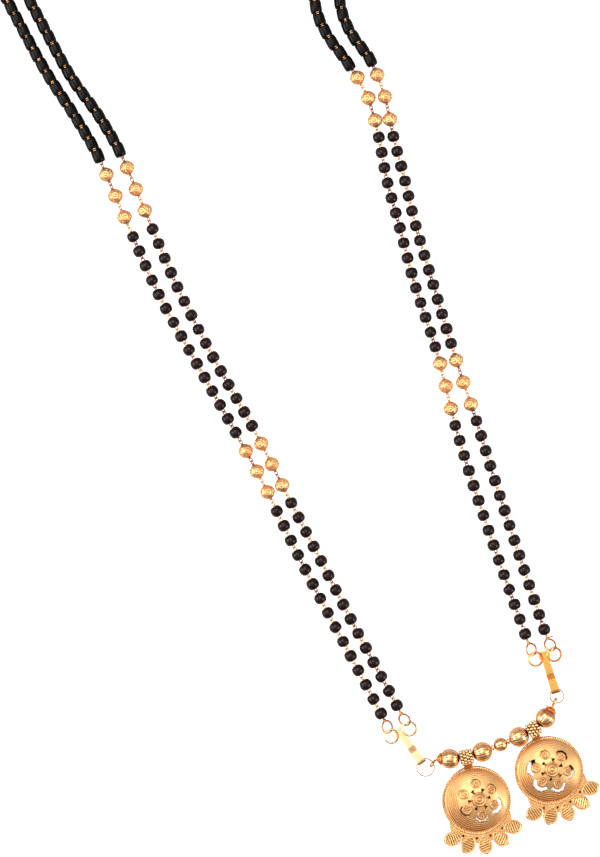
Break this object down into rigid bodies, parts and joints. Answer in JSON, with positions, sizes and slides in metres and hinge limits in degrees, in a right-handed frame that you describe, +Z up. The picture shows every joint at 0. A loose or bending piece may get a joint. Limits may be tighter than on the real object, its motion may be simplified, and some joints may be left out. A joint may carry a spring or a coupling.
{
  "type": "mangalsutra",
  "caption": "Necklace of linked black beads with gold beads, closed in front by a bar of fluted gold balls that carries pierced, domed discs with leaf fringes.",
  "frame": {"origin": "middle of the laid-out jewel's bounding box, at the surface that it lies on", "axes": "+X along the gold bar to the wearer's left, +Y from the discs to the back of the neck, +Z up from the surface, out of the faces of the discs"},
  "size_m": [0.0847, 0.2982, 0.0043],
  "materials": {
    "gold": "polished, gold plated",
    "gold_wire": "polished reddish gold wire",
    "pale_gold": "polished pale gold",
    "black_glass": "glossy black glass"
  },
  "bodies": {
    "root": {"pendant_left": "gold", "pendant_right": "gold", "bar_wire": "gold_wire", "bar_small_ball": "gold", "bar_ball_1": "gold", "bar_ball_2": "gold", "bar_ball_3": "gold", "bar_ball_4": "gold", "bar_spacer_left": "gold", "bar_cap_left": "gold", "jump_ring_left": "pale_gold", "connector_left": "gold", "bar_spacer_right": "gold", "bar_cap_right": "gold", "jump_ring_right": "pale_gold", "connector_right": "gold", "end_link_outer_left": "gold_wire", "black_beads_outer_left": "black_glass", "barrel_beads_outer_left": "black_glass", "strand_wire_outer_left": "gold_wire", "end_link_inner_left": "gold_wire", "black_beads_inner_left": "black_glass", "barrel_beads_inner_left": "black_glass", "strand_wire_inner_left": "gold_wire", "end_link_inner_right": "gold_wire", "black_beads_inner_right": "black_glass", "barrel_beads_inner_right": "black_glass", "strand_wire_inner_right": "gold_wire", "end_link_outer_right": "gold_wire", "black_beads_outer_right": "black_glass", "barrel_beads_outer_right": "black_glass", "strand_wire_outer_right": "gold_wire", "gold_bead_outer_left_1": "gold", "gold_bead_outer_left_2": "gold", "gold_bead_outer_left_3": "gold", "gold_bead_outer_left_4": "gold", "gold_bead_outer_left_5": "gold", "gold_bead_outer_left_6": "gold", "gold_bead_inner_left_1": "gold", "gold_bead_inner_left_2": "gold", "gold_bead_inner_left_3": "gold", "gold_bead_inner_left_4": "gold", "gold_bead_inner_left_5": "gold", "gold_bead_inner_left_6": "gold", "gold_bead_inner_right_1": "gold", "gold_bead_inner_right_2": "gold", "gold_bead_inner_right_3": "gold", "gold_bead_inner_right_4": "gold", "gold_bead_inner_right_5": "gold", "gold_bead_inner_right_6": "gold", "gold_bead_outer_right_1": "gold", "gold_bead_outer_right_2": "gold", "gold_bead_outer_right_3": "gold", "gold_bead_outer_right_4": "gold", "gold_bead_outer_right_5": "gold", "gold_bead_outer_right_6": "gold", "back_strand_outer": "black_glass", "back_strand_inner": "black_glass"}
  },
  "joints": []
}
